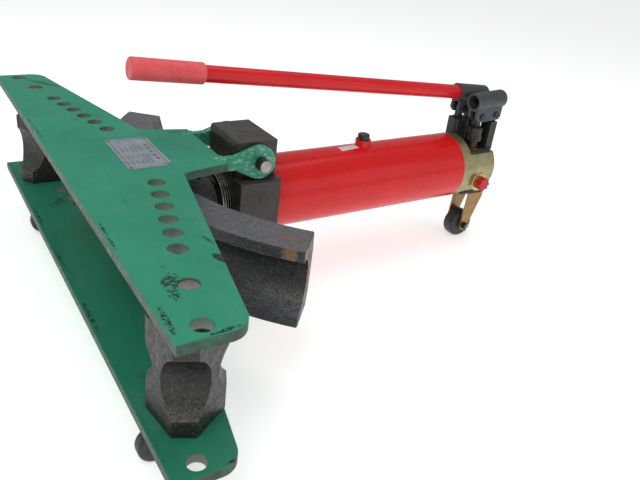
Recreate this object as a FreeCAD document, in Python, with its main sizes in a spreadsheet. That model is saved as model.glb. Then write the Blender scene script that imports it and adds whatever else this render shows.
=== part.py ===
import FreeCAD, Part
import os
import re
import Sketcher
from FreeCAD import Rotation, Vector

# A horizontal hydraulic pipe bender.  The pieces are drawn in bench coordinates:
# x runs back from the front edge of the wing plates, y to the left of the ram,
# z up from the ram's axis.  Each finished piece is then placed so that the origin
# is on the floor under the middle of the machine.

SIZES = {
    "frontX": (-457.5, "front edge of the wing plates"),
    "axisZ": (180, "height of the ram's axis above the floor"),
    # wing plates
    "plate": (14, "thickness of both wing plates"),
    "gap": (174, "clear height between the wing plates"),
    "wingHalf": (479, "half length of a wing plate"),
    "wingEnd": (83.5, "width of a wing at its end"),
    "shoulderX": (165.5, "where a wing meets the tongue"),
    "shoulderY": (98.5, "half width there"),
    "tongueEnd": (246, "back edge of the upper tongue"),
    "tongueHalf": (82, "half width of the upper tongue's back edge"),
    "endRound": (29, "round at the back corner of a wing"),
    "innerRound": (11, "inside round at the shoulder"),
    "edgeBreak": (0.9, "broken edge on plates"),
    "pinHole": (25, "diameter of the roller pin holes"),
    "rowStart": (142.5, "x of the hole row's line at the centre plane"),
    "rowSlope": (0.2315, "how fast the row of holes runs forward"),
    "stationA": (118, "hole pairs, half spacing"),
    "stationB": (158, "hole pairs, half spacing"),
    "stationC": (195, "hole pairs, half spacing"),
    "stationD": (232, "hole pairs, half spacing"),
    "stationE": (268, "hole pairs, half spacing"),
    "stationF": (307, "hole pairs, half spacing"),
    "stationG": (383, "hole pairs, half spacing; the rollers stand here"),
    "stationH": (458, "hole pairs, half spacing"),
    # block, hinge and lugs
    "blockFront": (273.5, "front face of the block"),
    "blockLong": (76.5, "length of the block along the ram"),
    "blockHalf": (77.7, "half width of the block's foot"),
    "ledge": (57, "height of the ledges"),
    "crownHalf": (53, "half width above the ledges"),
    "crownTop": (119, "top of the block"),
    "crownRound": (9, "round on the crown's front edges"),
    "hingeX": (313, "hinge pin, along the ram"),
    "hingeZ": (87, "hinge pin, height"),
    "hingePin": (22, "diameter of the hinge pin"),
    "hingeHalf": (86, "half length of the hinge pin"),
    "lugInner": (54.5, "inner face of a lug"),
    "lugThick": (14, "thickness of a lug"),
    "lugFront": (226, "front end of a lug, let into the tongue"),
    "lugEye": (27.5, "outer radius of a lug's eye"),
    "lugTop": (101, "top of a lug's bar"),
    "lugLow": (80, "underside of a lug's bar"),
    # ram, cylinder and tank tube
    "boreRadius": (38, "bore of the working cylinder"),
    "barrelRadius": (45, "outside of the working cylinder"),
    "barrelFront": (256, "front end of the working cylinder"),
    "rodRadius": (28, "ram rod"),
    "rodFront": (253, "shoulder that the former bears on"),
    "noseRadius": (23, "nose that the former slides onto"),
    "noseFront": (213, "tip of the nose"),
    "pistonFront": (768, "front face of the piston"),
    "pistonLong": (28, "length of the piston"),
    "glandFront": (258, "front of the rod gland"),
    "glandLong": (34, "length of the rod gland"),
    "tubeRadius": (66.5, "outside of the tank tube"),
    "tubeWall": (4.5, "wall of the tank tube"),
    "tubeRear": (793, "rear end of the tank tube"),
    "springWire": (5, "wire of the return spring"),
    "springRadius": (33, "mean radius of the return spring"),
    "springTurns": (11, "turns of the return spring"),
    # former
    "bendRadius": (450, "outer radius of the former's flanges"),
    "formerDeep": (64, "depth of the flanges"),
    "formerHalf": (62, "half height of the former"),
    "grooveRadius": (44.5, "pipe groove"),
    "formerSweep": (88.4, "angle that the former covers"),
    "formerSkew": (3, "the former sits askew on the nose"),
    "formerPivot": (232, "middle of the nose inside the hub"),
    "arcCentre": (326, "from there back to the centre of the arc"),
    "hubRadius": (42.5, "hub behind the former"),
    "hubRear": (308, "rear of the hub, from the arc's centre"),
    "hubBore": (25, "radius of the blind bore for the nose"),
    "formerPin": (5, "radius of the upright pin that keeps the former on the nose"),
    # rollers
    "rollerLow": (86.5, "foot of a roller, below the ram's axis"),
    "rollerTop": (50, "top of a roller, above the ram's axis"),
    "rollerMid": (-18.25, "height of the rollers' grooves"),
    "nearTurn": (-114.7, "way that the near roller's large groove faces"),
    "farTurn": (-147.4, "way that the far roller's large groove faces"),
    "stubRadius": (12.4, "trunnions of the rollers"),
    # pump head
    "headStep": (816, "end of the head's flange"),
    "headRear": (884, "rear face of the head"),
    "headRadius": (64, "radius of the head's body"),
    "headFlat": (38, "height of the flat that carries the pumps"),
    "padTop": (42, "top of the steel plate on that flat"),
    "headUnder": (-60, "flat under the head, for the caster"),
    "nearPump": (843, "bore of the small pump, along the ram"),
    "farPump": (832, "bore of the large pump, along the ram"),
    "pumpY": (22, "pump bores, half spacing"),
    "leverArm": (38, "fulcrum pin to plunger pin, and from a pump's bore to its fulcrum"),
    "fulcrumZ": (113, "fulcrum pins, height"),
    "postTop": (97.5, "top of the wide part of a fulcrum post"),
    "socketRise": (29.5, "fulcrum pin up to the socket's axis"),
    "nearMouth": (57.5, "fulcrum pin forward to the socket's mouth"),
    "farMouth": (61, "fulcrum pin forward to the socket's mouth"),
    "socketBore": (14.3, "radius of a handle socket"),
    "farTilt": (6.5, "lever that holds the handle, mouth up"),
    "nearTilt": (-3.1, "empty lever, mouth down"),
    "leverPin": (4.5, "radius of the lever pins"),
    "handleRadius": (14, "handle tube"),
    "handleLong": (758, "length of the handle tube"),
    "gripRadius": (17.6, "rubber grip"),
    "gripLong": (123, "length of the grip"),
    # release valve and filler
    "releaseX": (843, "release valve, along the ram"),
    "releaseZ": (-20, "release valve, height"),
    "fillerX": (572, "filler, along the ram"),
    # wheels
    "casterX": (894, "kingpin of the caster"),
    "casterTrail": (15, "kingpin to the caster's axle"),
    "casterWheel": (31, "radius of the caster's wheel"),
    "nearWheelX": (28, "near front wheel, along the ram"),
    "nearWheelY": (-348, "near front wheel, sideways"),
    "farWheelX": (36, "far front wheel, along the ram"),
    "farWheelY": (320, "far front wheel, sideways"),
    "frontWheel": (25, "radius of the front wheels"),
    "axleRadius": (4, "wheel axles"),
}
STATIONS = ["stationA", "stationB", "stationC", "stationD", "stationE", "stationF", "stationG", "stationH"]
SIDES = {"near": -1, "far": 1}
TURNS = {
    "X": Rotation(Vector(0, 1, 0), 90),
    "Y": Rotation(Vector(1, 0, 0), -90),
    "Z": Rotation(),
}

doc = FreeCAD.newDocument("PipeBender")
sheet = doc.addObject("Spreadsheet::Sheet", "dim")
for row, (name, (value, note)) in enumerate(SIZES.items(), start=1):
    sheet.set("A%d" % row, name)
    sheet.set("B%d" % row, str(value))
    sheet.setAlias("B%d" % row, name)
    sheet.set("C%d" % row, note)
doc.recompute()
nodes = []


def cells(text):
    """Point each size named in an expression at the spreadsheet."""
    return re.sub(r"\b[a-z][A-Za-z]+\b(?!\s*\()", r"dim.\g<0>", str(text))


def number(text):
    """Today's value of an expression in the spreadsheet's sizes."""
    return float(sheet.evalExpression(cells(text)))


def bind(obj, **sizes):
    for prop, text in sizes.items():
        obj.setExpression(prop, cells(text))


def place(obj, x=0, y=0, z=0):
    """Bind a piece's position to the sheet."""
    for letter, text in zip("xyz", (x, y, z)):
        obj.setExpression("Placement.Base." + letter, cells(text))


def finish(obj, label, x=0, y=0, z=0):
    """Move a finished piece from bench coordinates to the machine's origin."""
    place(obj, "frontX + (%s)" % x, y, "axisZ + (%s)" % z)
    obj.Label = label
    nodes.append(obj)
    return obj


# Part primitives


def cylinder(radius, length, x=0, y=0, z=0, along="Z"):
    """A cylinder whose lower end is at x, y, z."""
    obj = doc.addObject("Part::Cylinder", "Cylinder")
    bind(obj, Radius=radius, Height=length)
    obj.Placement.Rotation = TURNS[along]
    place(obj, x, y, z)
    return obj


def box(long, wide, high, x=0, y=0, z=0):
    """A box whose lowest corner is at x, y, z."""
    obj = doc.addObject("Part::Box", "Box")
    bind(obj, Length=long, Width=wide, Height=high)
    place(obj, x, y, z)
    return obj


def hexagon(radius, length, x=0, y=0, z=0, along="Z"):
    obj = doc.addObject("Part::Prism", "Hexagon")
    obj.Polygon = 6
    bind(obj, Circumradius=radius, Height=length)
    obj.Placement.Rotation = TURNS[along]
    place(obj, x, y, z)
    return obj


def fuse(*shapes):
    obj = doc.addObject("Part::MultiFuse", "Fuse")
    obj.Shapes = list(shapes)
    return obj


def cut(base, *tools):
    obj = doc.addObject("Part::Cut", "Cut")
    obj.Base = base
    obj.Tool = tools[0] if len(tools) == 1 else fuse(*tools)
    return obj


def group(*shapes):
    """Several separate solids in one sub-part."""
    obj = doc.addObject("Part::Compound", "Group")
    obj.Links = list(shapes)
    return obj


def ring(outer, inner, length, x=0, y=0, z=0, along="Z"):
    return cut(cylinder(outer, length, x, y, z, along), cylinder(inner, length, x, y, z, along))


def rounded(base, radius, choose):
    """Round the edges of a solid that choose() accepts."""
    doc.recompute()
    obj = doc.addObject("Part::Fillet", "Rounded")
    obj.Base = base
    chosen = [i for i, edge in enumerate(base.Shape.Edges, start=1) if choose(edge)]
    obj.Edges = [(i, radius, radius) for i in chosen]
    return obj


def stands_up(edge):
    """True for a straight edge along z."""
    ends = [vertex.Point for vertex in edge.Vertexes]
    return len(ends) == 2 and (ends[0] - ends[1]).cross(Vector(0, 0, 1)).Length < 1e-6


# PartDesign bodies


def new_sketch(body, role, offset=0):
    """A sketch on one of the body's own origin planes, or parallel to it."""
    flat = [plane for plane in body.Origin.OriginFeatures if plane.Role == role][0]
    sketch = body.newObject("Sketcher::SketchObject", "Sketch")
    sketch.AttachmentSupport = (flat, [""])
    sketch.MapMode = "FlatFace"
    sketch.setExpression("AttachmentOffset.Base.z", cells(offset))
    return sketch


def pin_point(sketch, geometry, point, x, y):
    """Fix a point of the sketch at sizes from the sheet."""
    for kind, text in (("DistanceX", x), ("DistanceY", y)):
        rule = Sketcher.Constraint(kind, -1, 1, geometry, point, number(text))
        sketch.setExpression("Constraints[%d]" % sketch.addConstraint(rule), cells(text))


def outline(sketch, corners):
    """A closed outline of straight lines through corners given as sizes."""
    spots = [Vector(number(x), number(y), 0) for x, y in corners]
    first = sketch.GeometryCount
    count = len(corners)
    for i in range(count):
        sketch.addGeometry(Part.LineSegment(spots[i], spots[(i + 1) % count]))
    for i, (x, y) in enumerate(corners):
        following = first + (i + 1) % count
        sketch.addConstraint(Sketcher.Constraint("Coincident", first + i, 2, following, 1))
        pin_point(sketch, first + i, 1, x, y)


def circle(sketch, x, y, radius):
    middle = Vector(number(x), number(y), 0)
    disc = sketch.addGeometry(Part.Circle(middle, Vector(0, 0, 1), number(radius)))
    size = sketch.addConstraint(Sketcher.Constraint("Radius", disc, number(radius)))
    sketch.setExpression("Constraints[%d]" % size, cells(radius))
    pin_point(sketch, disc, 3, x, y)


def pad(body, sketch, length, middle=False):
    obj = body.newObject("PartDesign::Pad", "Pad")
    obj.Profile = sketch
    obj.Midplane = middle
    bind(obj, Length=length)
    return obj


def pocket(body, sketch, length, middle=False):
    obj = body.newObject("PartDesign::Pocket", "Pocket")
    obj.Profile = sketch
    obj.Midplane = middle
    bind(obj, Length=length)
    return obj


def soften(body, kind, size, choose, faces=False):
    """Fillet or chamfer the edges, or whole faces, that choose() accepts."""
    doc.recompute()
    last = body.Tip
    found = last.Shape.Faces if faces else last.Shape.Edges
    word = "Face" if faces else "Edge"
    names = [word + str(i) for i, item in enumerate(found, start=1) if choose(item)]
    obj = body.newObject("PartDesign::" + kind, kind)
    obj.Base = (last, names)
    bind(obj, **{"Radius" if kind == "Fillet" else "Size": size})
    return obj


def near_corner(x, y):
    """Chooser for upright edges at a corner of a plate, on both sides."""
    def choose(edge):
        middle = edge.CenterOfMass
        spot = Vector(middle.x, abs(middle.y), 0)
        return stands_up(edge) and spot.distanceToPoint(Vector(number(x), number(y), 0)) < 0.5
    return choose


# wing plates


def wing_plate(label, tail, under):
    """One wing plate; tail lists the corners of its tongue on the far side."""
    body = doc.addObject("PartDesign::Body", "WingPlate")
    half = [("0", "wingHalf"), ("wingEnd", "wingHalf"), ("shoulderX", "shoulderY")] + tail
    corners = half + [(x, "-(%s)" % y) for x, y in reversed(half)]
    sketch = new_sketch(body, "XY_Plane")
    outline(sketch, corners)
    pad(body, sketch, "plate")
    soften(body, "Fillet", "endRound", near_corner("wingEnd", "wingHalf"))
    soften(body, "Fillet", "innerRound", near_corner("shoulderX", "shoulderY"))
    holes = new_sketch(body, "XY_Plane")
    for station in STATIONS:
        for side in SIDES.values():
            circle(holes, "rowStart - rowSlope * %s" % station, "%d * %s" % (side, station), "pinHole / 2")
    through = pocket(body, holes, "plate")
    through.Reversed = True
    return finish(body, label, 0, 0, under)


def flat_up(height):
    """Chooser for the level face at a height."""
    return lambda face: face.normalAt(0, 0).z > 0.99 and abs(face.CenterOfMass.z - height) < 0.01


def upper_wing_plate():
    body = wing_plate("upper_wing_plate", [("tongueEnd", "tongueHalf")], "gap / 2")
    slots = new_sketch(body, "XY_Plane")
    for side in SIDES.values():
        inner = "%d * (lugInner - 0.1)" % side
        outer = "%d * (lugInner + lugThick + 0.1)" % side
        front = "lugFront - 0.1"
        outline(slots, [(front, inner), (front, outer), ("tongueEnd + 5", outer), ("tongueEnd + 5", inner)])
    notch = pocket(body, slots, "plate")
    notch.Reversed = True
    soften(body, "Chamfer", "edgeBreak", flat_up(number("plate")), faces=True)


def lower_wing_plate():
    tail = [("tongueEnd", "tongueHalf"), ("blockFront + blockLong", "blockHalf")]
    body = wing_plate("lower_wing_plate", tail, "-(gap / 2 + plate)")
    bolts = new_sketch(body, "XY_Plane")
    for x, y in block_bolt_spots():
        circle(bolts, x, y, 8.2)
    through = pocket(body, bolts, "plate")
    through.Reversed = True
    screws = new_sketch(body, "XY_Plane")
    for name in SIDES:
        for x, y in bracket_bolt_spots(name):
            circle(screws, x, y, 4.1)
    blind = pocket(body, screws, 10)
    blind.Reversed = True
    soften(body, "Chamfer", "edgeBreak", flat_up(number("plate")), faces=True)


def hinge_lugs():
    """Two bars with eyes, let into the back of the tongue."""
    lugs = []
    for side in SIDES.values():
        body = doc.addObject("PartDesign::Body", "HingeLug")
        bar = new_sketch(body, "XZ_Plane")
        outline(bar, [
            ("lugFront", "lugLow"), ("lugFront", "lugTop"), ("hingeX - 45", "lugTop"),
            ("hingeX - 14", "hingeZ + 24.5"), ("hingeX", "hingeZ"), ("hingeX - 14", "hingeZ - 24.5"),
            ("hingeX - 46", "lugLow"),
        ])
        pad(body, bar, "lugThick", middle=True)
        eye = new_sketch(body, "XZ_Plane")
        circle(eye, "hingeX", "hingeZ", "lugEye")
        pad(body, eye, "lugThick", middle=True)
        bore = new_sketch(body, "XZ_Plane")
        circle(bore, "hingeX", "hingeZ", "hingePin / 2 + 0.08")
        pocket(body, bore, "lugThick + 2", middle=True)
        place(body, 0, "%d * (lugInner + lugThick / 2)" % side)
        lugs.append(body)
    finish(group(*lugs), "hinge_lugs")


def data_plate():
    plate = box(69, 125, 0.8, 93, -64.5, "gap / 2 + plate")
    finish(cut(plate, *rivets(1, 1.5, 1)), "data_plate")
    finish(group(*rivets(1.8, 1.4, 2.6)), "data_plate_rivets")


def rivets(high, shank, head):
    """Four rivets at the corners of the data plate."""
    top = "gap / 2 + plate"
    made = []
    for x in (97, 158):
        for y in (-60.5, 56.5):
            stem = cylinder(shank, "%s" % high, x, y, top)
            made.append(fuse(stem, cylinder(head, 0.9, x, y, top + " + 0.9")) if head > shank else stem)
    return made


# block and hinge pin


def block_bolt_spots():
    return [("blockFront + %d" % dx, "%d * 48" % side) for dx in (18, 58) for side in SIDES.values()]


def front_block():
    body = doc.addObject("PartDesign::Body", "FrontBlock")
    profile = new_sketch(body, "YZ_Plane", "blockFront")
    foot = [("blockHalf", "-gap / 2"), ("blockHalf", "ledge")]
    half = foot + [("crownHalf", "ledge"), ("crownHalf", "crownTop")]
    outline(profile, half + [("-" + y, z) for y, z in reversed(half)])
    pad(body, profile, "blockLong")

    def crown_front(edge):
        middle = edge.CenterOfMass
        on_front = abs(middle.x - number("blockFront")) < 0.01
        return on_front and middle.z > number("ledge") + 5

    soften(body, "Fillet", "crownRound", crown_front)
    bore = new_sketch(body, "YZ_Plane", "blockFront")
    circle(bore, 0, 0, "barrelRadius + 0.05")
    through = pocket(body, bore, "blockLong")
    through.Reversed = True
    hinge = new_sketch(body, "XZ_Plane")
    circle(hinge, "hingeX", "hingeZ", "hingePin / 2 + 0.06")
    pocket(body, hinge, "2 * blockHalf", middle=True)
    threads = new_sketch(body, "XY_Plane", "-gap / 2")
    for x, y in block_bolt_spots():
        circle(threads, x, y, 8.1)
    blind = pocket(body, threads, 30)
    blind.Reversed = True

    def foot_edge(edge):
        middle = edge.CenterOfMass
        return abs(abs(middle.y) - number("blockHalf")) < 0.01 and middle.z > -number("gap") / 2 + 1

    soften(body, "Chamfer", 1.5, foot_edge)
    finish(body, "front_block")


def block_bolts():
    bolts = []
    for x, y in block_bolt_spots():
        head = hexagon(13, 10, x, y, "-(gap / 2 + plate + 10)")
        shank = cylinder(8, "plate + 25", x, y, "-(gap / 2 + plate)")
        bolts.append(fuse(head, shank))
    finish(group(*bolts), "block_bolts")


def hinge_pin():
    pin = cylinder("hingePin / 2", "2 * hingeHalf", "hingeX", "-hingeHalf", "hingeZ", "Y")
    ends = rounded(pin, 1.2, lambda edge: len(edge.Vertexes) == 1)
    finish(ends, "hinge_pin")


# ram, cylinder and tank


def working_cylinder():
    long = "tubeRear + 10 - barrelFront"
    finish(ring("barrelRadius", "boreRadius", long, "barrelFront", 0, 0, "X"), "working_cylinder")


def cylinder_collar():
    """Threaded collar in front of the block, with a few coarse threads showing."""
    core = cylinder(48, "blockFront - barrelFront - 1", "barrelFront + 1", 0, 0, "X")
    threads = [cylinder(50.5, 2, "barrelFront + %s" % (2 + 4.2 * i), 0, 0, "X") for i in range(4)]
    hole = cylinder("barrelRadius + 0.05", "blockFront - barrelFront", "barrelFront", 0, 0, "X")
    finish(cut(fuse(core, *threads), hole), "cylinder_collar")


def rod_gland():
    gland = ring("boreRadius - 0.1", "rodRadius + 0.05", "glandLong", "glandFront", 0, 0, "X")
    groove = cylinder("rodRadius + 5", 6, "glandFront + 17", 0, 0, "X")
    finish(cut(gland, groove), "rod_gland")
    seal = ring("rodRadius + 4.9", "rodRadius + 0.05", 5.8, "glandFront + 17.1", 0, 0, "X")
    wiper = ring("boreRadius - 0.1", "rodRadius + 0.05", 1.8, "barrelFront + 0.1", 0, 0, "X")
    finish(group(seal, wiper), "rod_seals")


def tank_tube():
    rear = "blockFront + blockLong"
    tube = ring("tubeRadius", "tubeRadius - tubeWall", "tubeRear - (%s)" % rear, rear, 0, 0, "X")
    hole = cylinder(9, 30, "fillerX", 0, "tubeRadius - 20")
    finish(cut(tube, hole), "tank_tube")


def ram():
    rod = cylinder("rodRadius", "pistonFront - rodFront", "rodFront", 0, 0, "X")
    nose = cylinder("noseRadius", "rodFront - noseFront", "noseFront", 0, 0, "X")
    cross = cylinder("formerPin + 0.02", 60, "formerPivot", 0, -30)
    finish(cut(fuse(rod, nose), cross), "ram_rod")
    finish(cylinder("formerPin", 78), "former_pin", "formerPivot", 0, -39)
    piston = cylinder("boreRadius - 0.08", "pistonLong", "pistonFront", 0, 0, "X")
    groove = ring("boreRadius + 1", "boreRadius - 4.5", 8, "pistonFront + 10", 0, 0, "X")
    finish(cut(piston, groove), "ram_piston")
    seal = ring("boreRadius - 0.06", "boreRadius - 4.45", 7.8, "pistonFront + 10.1", 0, 0, "X")
    finish(seal, "piston_seal")


def return_spring():
    """Compression spring round the rod, from the gland to the piston."""
    start = "glandFront + glandLong + springWire / 2 + 0.3"
    helix = doc.addObject("Part::Helix", "Helix")
    helix.SegmentLength = 0
    bind(helix, Radius="springRadius", Height="pistonFront - (%s) - springWire / 2 - 0.3" % start)
    bind(helix, Pitch="(pistonFront - (%s) - springWire / 2 - 0.3) / springTurns" % start)
    wire = doc.addObject("Part::Circle", "Wire")
    bind(wire, Radius="springWire / 2")
    wire.Placement.Rotation = TURNS["Y"]
    place(wire, "springRadius", 0, 0)
    coil = doc.addObject("Part::Sweep", "Coil")
    coil.Sections = [wire]
    coil.Spine = (helix, ["Edge1"])
    coil.Solid = True
    coil.Frenet = True
    coil.Placement.Rotation = TURNS["X"]
    finish(coil, "return_spring", start)


# former and rollers


def former():
    """Pipe former: a C section swept round the bend, with a hub for the ram's nose."""
    body = doc.addObject("PartDesign::Body", "Former")
    section = new_sketch(body, "XZ_Plane")
    inner = "-(bendRadius - formerDeep)"
    bulge = inner + " + 9"
    outline(section, [
        ("-bendRadius", "-formerHalf"), ("-bendRadius", "formerHalf"), (inner, "formerHalf"),
        (bulge, "formerHalf / 2"), (bulge, "-formerHalf / 2"), (inner, "-formerHalf"),
    ])
    bend = body.newObject("PartDesign::Revolution", "Bend")
    bend.Profile = section
    bend.ReferenceAxis = (section, ["V_Axis"])
    bend.Midplane = True
    bind(bend, Angle="formerSweep")
    neck = new_sketch(body, "YZ_Plane", "-(bendRadius - formerDeep) + 2")
    circle(neck, 0, 0, "hubRadius")
    pad(body, neck, "bendRadius - formerDeep - 2 - hubRear")
    pipe = new_sketch(body, "XZ_Plane")
    circle(pipe, "-bendRadius", 0, "grooveRadius")
    groove = body.newObject("PartDesign::Groove", "PipeGroove")
    groove.Profile = pipe
    groove.ReferenceAxis = (pipe, ["V_Axis"])
    groove.Midplane = True
    bind(groove, Angle="formerSweep + 20")
    bore = new_sketch(body, "YZ_Plane", "-hubRear")
    circle(bore, 0, 0, "hubBore")
    pocket(body, bore, 40)
    cross = new_sketch(body, "XY_Plane")
    circle(cross, "-arcCentre", 0, "formerPin + 0.1")
    pocket(body, cross, 120, middle=True)

    def end_edge(edge):
        """The straight edges along the rims of both end faces."""
        return edge.Length < number("formerDeep") + 5 and abs(edge.CenterOfMass.y) > 200

    soften(body, "Chamfer", 1.5, end_edge)
    turned = "formerPivot + arcCentre * cos(formerSkew)"
    body.Placement.Rotation = Rotation(Vector(0, 0, 1), number("formerSkew"))
    body.setExpression("Placement.Rotation.Angle", cells("formerSkew"))
    finish(body, "bending_former", turned, "arcCentre * sin(formerSkew)")


def roller(name, side):
    """Cast pressure roller with a groove on each of four faces, and its two trunnions."""
    body = doc.addObject("PartDesign::Body", "Roller")
    plan = new_sketch(body, "XY_Plane", "-rollerLow")
    half = [("40", "15"), ("-12", "48.5"), ("-38", "48"), ("-52", "34")]
    outline(plan, half + [(x, "-" + y) for x, y in reversed(half)])
    pad(body, plan, "rollerLow + rollerTop")
    channels = new_sketch(body, "XZ_Plane")
    circle(channels, 71.4, "rollerMid", 54)
    circle(channels, "-52 - 18", "rollerMid", 46)
    pocket(body, channels, 130, middle=True)
    sides = new_sketch(body, "YZ_Plane")
    for across in (83, -83):
        circle(sides, across, "rollerMid", 44.5)
    pocket(body, sides, 130, middle=True)
    for end in ("-rollerLow", "rollerTop"):
        seat = new_sketch(body, "XY_Plane", end)
        circle(seat, 0, 0, "stubRadius + 0.02")
        bore = pocket(body, seat, 18)
        bore.Reversed = end.startswith("-")
    stand(body, name + "Turn")
    finish(body, "roller_" + name, station_x(), "%d * stationG" % side)
    low = cylinder("stubRadius", "gap / 2 + 11 - rollerLow + 18", 0, 0, "-gap / 2 - 11")
    high = cylinder("stubRadius - 0.15", "gap / 2 + 11 - rollerTop + 18", 0, 0, "rollerTop - 18")
    finish(group(low, high), "roller_trunnions_" + name, station_x(), "%d * stationG" % side)


def station_x():
    return "rowStart - rowSlope * stationG"


def stand(body, turn):
    """Turn a roller so that its large groove faces the way that a size gives."""
    body.Placement.Rotation = Rotation(Vector(0, 0, 1), number(turn))
    body.setExpression("Placement.Rotation.Angle", cells(turn))


# pump head


def pump_head():
    body = doc.addObject("PartDesign::Body", "PumpHead")
    section = new_sketch(body, "XZ_Plane")
    spigot = "tubeRadius - tubeWall - 0.1"
    outline(section, [
        ("tubeRear + 10", "0"), ("tubeRear + 10", "barrelRadius + 0.05"),
        ("tubeRear - 12", "barrelRadius + 0.05"), ("tubeRear - 12", spigot), ("tubeRear - 9", spigot), ("tubeRear - 9", spigot + " - 4.8"),
        ("tubeRear - 3.8", spigot + " - 4.8"), ("tubeRear - 3.8", spigot), ("tubeRear", spigot),
        ("tubeRear", "tubeRadius"), ("headStep - 2", "tubeRadius"), ("headStep", "headRadius"),
        ("headRear - 4", "headRadius"), ("headRear", "headRadius - 4"), ("headRear", "0"),
    ])
    turned = body.newObject("PartDesign::Revolution", "Turned")
    turned.Profile = section
    turned.ReferenceAxis = (section, ["H_Axis"])
    turned.Angle = 360
    flats = new_sketch(body, "XZ_Plane")
    for low, high in (("headFlat", "headRadius + 10"), ("-(headRadius + 10)", "headUnder")):
        outline(flats, [("headStep", low), ("headRear + 5", low), ("headRear + 5", high), ("headStep", high)])
    pocket(body, flats, "3 * headRadius", middle=True)
    for radius, deep in ((10.1, 14), (4.3, 26)):
        bores = new_sketch(body, "XY_Plane", "headFlat")
        for name, side in SIDES.items():
            circle(bores, name + "Pump", "%d * pumpY" % side, radius)
        pocket(body, bores, deep)
    for radius, deep in ((20.2, 16), (6.08, 36)):
        valve = new_sketch(body, "XZ_Plane", 70)
        circle(valve, "releaseX", "releaseZ", radius)
        pocket(body, valve, deep)
    screws = new_sketch(body, "XY_Plane", "headUnder")
    for side in SIDES.values():
        circle(screws, "nearPump + 5", "%d * 14" % side, 4.1)
    blind = pocket(body, screws, 16)
    blind.Reversed = True
    finish(body, "pump_head")
    balls = []
    for name, side in SIDES.items():
        ball = doc.addObject("Part::Sphere", "Ball")
        bind(ball, Radius=4)
        place(ball, name + "Pump", "%d * pumpY" % side, "headFlat - 21.8")
        balls.append(ball)
    finish(group(*balls), "check_valve_balls")
    oring = doc.addObject("Part::Torus", "Ring")
    bind(oring, Radius1="tubeRadius - tubeWall - 2.45", Radius2=2.35)
    oring.Placement.Rotation = TURNS["X"]
    finish(oring, "head_seal", "tubeRear - 6.4")


def pump_barrels():
    """A small high-pressure pump on the near side and a large one on the far side."""
    low = "padTop + 2"
    spigot = cylinder(10, "padTop + 2 - headFlat + 11", "nearPump", "-pumpY", "headFlat - 11")
    neck = cylinder(11, 16, "nearPump", "-pumpY", low)
    nut = hexagon(17, 12, "nearPump", "-pumpY", low + " + 15")
    sleeve = cylinder(15.3, 28, "nearPump", "-pumpY", low + " + 15")
    bore = cylinder(8.06, 60, "nearPump", "-pumpY", "padTop + 6")
    finish(cut(fuse(spigot, neck, nut, sleeve), bore), "pump_barrel_near")
    spigot = cylinder(10, "padTop + 2 - headFlat + 11", "farPump", "pumpY", "headFlat - 11")
    block = box(38, 30, 50, "farPump - 15", "pumpY - 15", low)
    body = rounded(block, 7, stands_up)
    bore = cylinder(11.06, 60, "farPump", "pumpY", "padTop + 6")
    finish(cut(fuse(spigot, body), bore), "pump_barrel_far")
    rings = []
    for name, side in SIDES.items():
        rings.append(ring(16, 10.1, 1.9, name + "Pump", "%d * pumpY" % side, "padTop + 0.05"))
    finish(group(*rings), "pump_washers")


def fulcrum_posts():
    """Posts whose tops stand between the levers' cheeks, on one plate across the head's flat."""
    plate = box(68, 76, "padTop - headFlat", 822, -38, "headFlat")
    posts, holes = [rounded(plate, 5, stands_up)], []
    for name, side in SIDES.items():
        fulcrum = name + "Pump + leverArm"
        low = "%d * pumpY - 6.2" % side
        posts.append(box(18, 26, "postTop - headFlat", fulcrum + " - 9", "%d * pumpY - 13" % side, "headFlat"))
        posts.append(box(18, 12.4, "fulcrumZ - headFlat", fulcrum + " - 9", low, "headFlat"))
        posts.append(cylinder(9, 12.4, fulcrum, low, "fulcrumZ", "Y"))
        holes.append(cylinder("leverPin + 0.08", 20, fulcrum, low + " - 3", "fulcrumZ", "Y"))
        holes.append(cylinder(10.1, 20, name + "Pump", "%d * pumpY" % side, "headFlat - 5"))
    finish(cut(fuse(*posts), *holes), "fulcrum_posts")


def plunger(name, side, radius, tilt):
    """Pump plunger with a long eye that lets the lever's pin swing on its arc."""
    pump = name + "Pump"
    pin_x = "%s + leverArm * (1 - cos(%s))" % (pump, tilt)
    pin_z = "fulcrumZ + leverArm * sin(%s)" % tilt
    y = "%d * pumpY" % side
    shaft = cylinder(radius, "(%s) - padTop - 33" % pin_z, pump, y, "padTop + 12")
    neck = box(10.8, 11.6, 24, pump + " - 5.4", y + " - 5.8", pin_z + " - 24")
    parts = [shaft, neck]
    holes = []
    for radius, made in ((7.9, parts), (5.5, holes)):
        made.append(box(6.6, 11.6, 2 * radius, pin_x + " - 1", y + " - 5.8", "%s - %s" % (pin_z, radius)))
        for dx in ("- 1", "+ 5.6"):
            made.append(cylinder(radius, 11.6, pin_x + dx, y + " - 5.8", pin_z, "Y"))
    finish(cut(fuse(*parts), *holes), "pump_plunger_" + name)


def tilted(obj, label, name, side):
    """Place a lever's piece, drawn about its fulcrum pin, at the lever's tilt."""
    tilt = name + "Tilt"
    obj.Placement.Rotation = Rotation(Vector(0, 1, 0), abs(number(tilt)) + 1)
    obj.setExpression("Placement.Rotation.Angle", cells(tilt))
    finish(obj, label, name + "Pump + leverArm", "%d * pumpY" % side, "fulcrumZ")


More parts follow.
